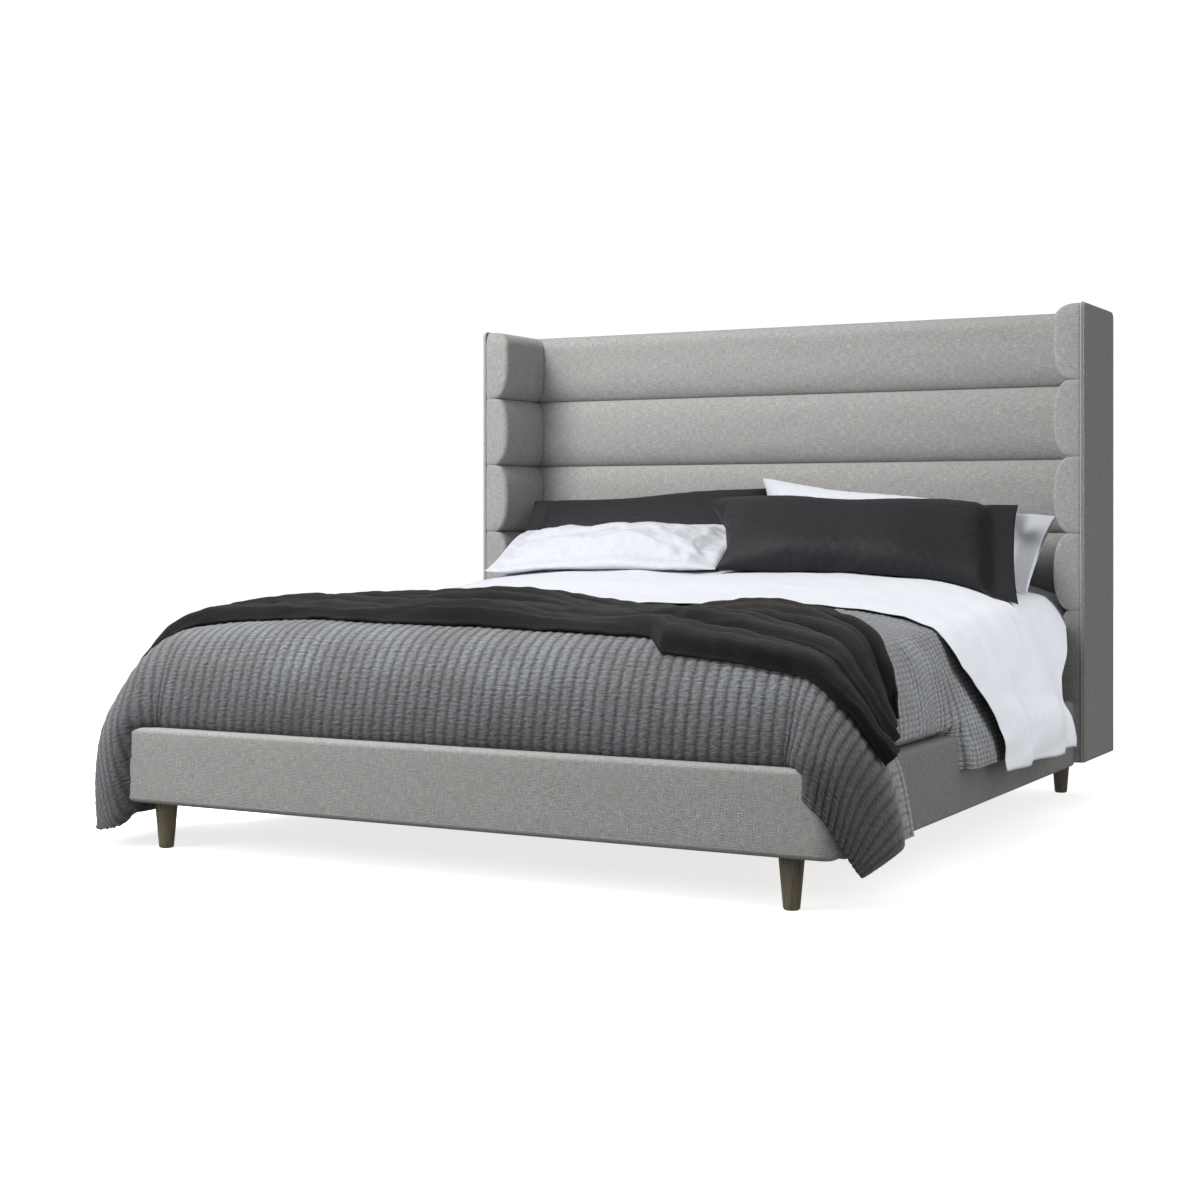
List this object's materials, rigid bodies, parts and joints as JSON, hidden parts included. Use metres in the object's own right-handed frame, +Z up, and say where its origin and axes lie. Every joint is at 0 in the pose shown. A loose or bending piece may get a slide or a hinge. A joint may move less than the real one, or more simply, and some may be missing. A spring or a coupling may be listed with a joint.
{
  "type": "upholstered wing bed",
  "caption": "King bed with a winged headboard in horizontal padded rolls, upholstered rails on tapered wood legs, and its mattress, coverlet, throw and pillows.",
  "frame": {"origin": "on the floor under the middle of the dressed bed", "axes": "+X across the bed to the right as seen from the foot, +Y from the foot to the headboard, +Z up"},
  "size_m": [2.294, 2.274, 1.535],
  "materials": {
    "upholstery": "warm light grey basketweave upholstery cloth",
    "back_cloth": "plain dark dust cloth",
    "leg_wood": "grey-brown stained ash, satin",
    "steel": "zinc-plated steel",
    "mattress_ticking": "knitted mattress ticking",
    "foundation_cloth": "dark woven foundation cover",
    "white_cotton": "white percale cotton",
    "quilted_cotton": "mid grey quilted cotton, puckered",
    "knit_throw": "dark brown-black ribbed knit",
    "dark_pillowcase": "charcoal cotton sateen",
    "white_pillowcase": "white percale cotton",
    "frame_timber": "unfinished pine and plywood"
  },
  "bodies": {
    "bed": {"back_left_pillow": "dark_pillowcase", "back_right_pillow": "white_pillowcase", "box_spring": "foundation_cloth", "centre_beam": "frame_timber", "centre_leg_1": "frame_timber", "centre_leg_2": "frame_timber", "coverlet": "quilted_cotton", "fitted_sheet": "white_cotton", "flat_sheet": "white_cotton", "foot_beam_hanger": "frame_timber", "foot_rail_board": "frame_timber", "foot_rail_cover": "upholstery", "front_left_leg": "leg_wood", "front_left_pillow": "white_pillowcase", "front_right_leg": "leg_wood", "front_right_pillow": "dark_pillowcase", "head_beam_hanger": "frame_timber", "headboard_back_cover": "back_cloth", "headboard_core": "frame_timber", "headboard_lower_pad": "upholstery", "headboard_roll_1": "upholstery", "headboard_roll_2": "upholstery", "headboard_roll_3": "upholstery", "headboard_roll_4": "upholstery", "left_corner_block": "frame_timber", "left_rail_board": "frame_timber", "left_rail_cover": "upholstery", "left_rail_plate": "steel", "left_slat_cleat": "frame_timber", "left_wing_core": "frame_timber", "left_wing_lower_pad": "upholstery", "left_wing_outer_cover": "upholstery", "left_wing_roll_1": "upholstery", "left_wing_roll_2": "upholstery", "left_wing_roll_3": "upholstery", "left_wing_roll_4": "upholstery", "mattress": "mattress_ticking", "rear_left_leg": "leg_wood", "rear_right_leg": "leg_wood", "right_corner_block": "frame_timber", "right_rail_board": "frame_timber", "right_rail_cover": "upholstery", "right_rail_plate": "steel", "right_slat_cleat": "frame_timber", "right_wing_core": "frame_timber", "right_wing_lower_pad": "upholstery", "right_wing_outer_cover": "upholstery", "right_wing_roll_1": "upholstery", "right_wing_roll_2": "upholstery", "right_wing_roll_3": "upholstery", "right_wing_roll_4": "upholstery", "slat_1": "frame_timber", "slat_2": "frame_timber", "slat_3": "frame_timber", "slat_4": "frame_timber", "slat_5": "frame_timber", "slat_6": "frame_timber", "throw_blanket": "knit_throw"},
    "front_glide": {"levelling_glide_1": "steel"},
    "rear_glide": {"levelling_glide_2": "steel"}
  },
  "joints": [
    {"name": "front_glide_travel", "type": "slide", "parent": "bed", "child": "front_glide", "axis": [0, 0, -1], "range_m": [0, 0.02]},
    {"name": "rear_glide_travel", "type": "slide", "parent": "bed", "child": "rear_glide", "axis": [0, 0, -1], "range_m": [0, 0.02]}
  ]
}
